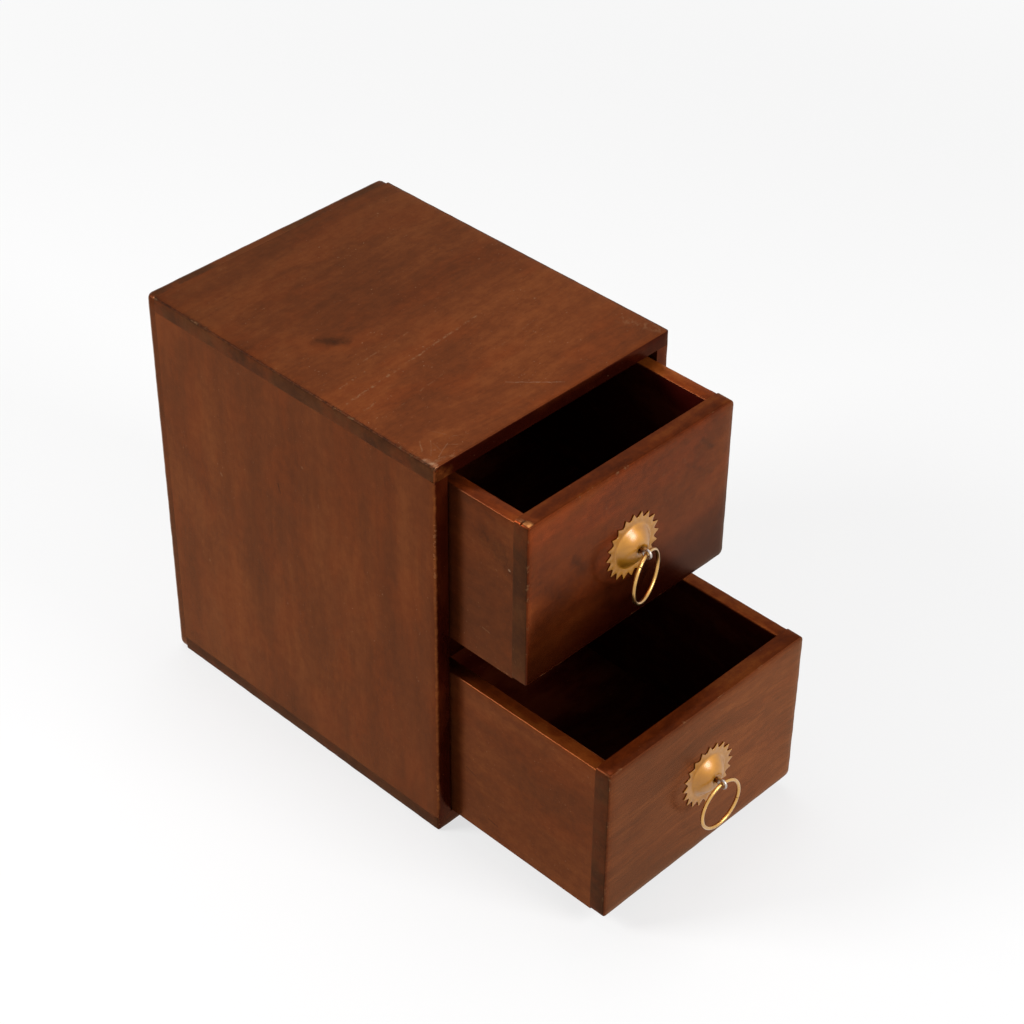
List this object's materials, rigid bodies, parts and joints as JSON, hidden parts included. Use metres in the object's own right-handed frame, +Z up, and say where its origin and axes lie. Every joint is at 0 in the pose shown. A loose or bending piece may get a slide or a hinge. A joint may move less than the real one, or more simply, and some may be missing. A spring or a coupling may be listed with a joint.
{
  "type": "two-drawer paint box",
  "caption": "Small upright wooden box with stacked pull-out drawers for watercolour paints, each with a ring pull on a toothed brass rosette.",
  "frame": {"origin": "centre of the case's underside, where the box stands", "axes": "+Z up, the drawers open towards -Y, +X to the right for someone who faces the drawers"},
  "size_m": [0.1054, 0.2133, 0.152],
  "materials": {
    "case_wood": "worn red-brown stain and varnish",
    "front_wood": "worn red-brown stain and varnish",
    "drawer_wood": "red-brown stain, thinner than on the case",
    "pin_steel": "plain wire",
    "brass_plate": "pressed and lightly tarnished",
    "steel_wire": "bright drawn wire",
    "brass_wire": "polished"
  },
  "bodies": {
    "case": {"case_top": "case_wood", "case_bottom": "case_wood", "case_left_side": "case_wood", "case_right_side": "case_wood", "case_back": "case_wood", "case_divider": "case_wood", "case_pins": "pin_steel"},
    "upper_drawer": {"upper_drawer_front": "front_wood", "upper_drawer_left_side": "drawer_wood", "upper_drawer_right_side": "drawer_wood", "upper_drawer_back": "drawer_wood", "upper_drawer_bottom": "drawer_wood", "upper_drawer_pins": "pin_steel", "upper_pull_plate": "brass_plate", "upper_pull_eye": "steel_wire"},
    "upper_ring": {"upper_pull_ring": "brass_wire"},
    "lower_drawer": {"lower_drawer_front": "front_wood", "lower_drawer_left_side": "drawer_wood", "lower_drawer_right_side": "drawer_wood", "lower_drawer_back": "drawer_wood", "lower_drawer_bottom": "drawer_wood", "lower_drawer_pins": "pin_steel", "lower_pull_plate": "brass_plate", "lower_pull_eye": "steel_wire"},
    "lower_ring": {"lower_pull_ring": "brass_wire"}
  },
  "joints": [
    {"name": "upper_drawer_slide", "type": "slide", "parent": "case", "child": "upper_drawer", "axis": [0, -1, 0], "range_m": [-0.0333, 0.0667]},
    {"name": "lower_drawer_slide", "type": "slide", "parent": "case", "child": "lower_drawer", "axis": [0, -1, 0], "range_m": [-0.0692, 0.0308]},
    {"name": "upper_ring_hinge", "type": "hinge", "parent": "upper_drawer", "child": "upper_ring", "pos_m": [0.0003, -0.10749, 0.11185], "axis": [1, 0, 0], "range_deg": [-160, 12]},
    {"name": "lower_ring_hinge", "type": "hinge", "parent": "lower_drawer", "child": "lower_ring", "pos_m": [0.0012, -0.14339, 0.03695], "axis": [1, 0, 0], "range_deg": [-160, 16]}
  ]
}
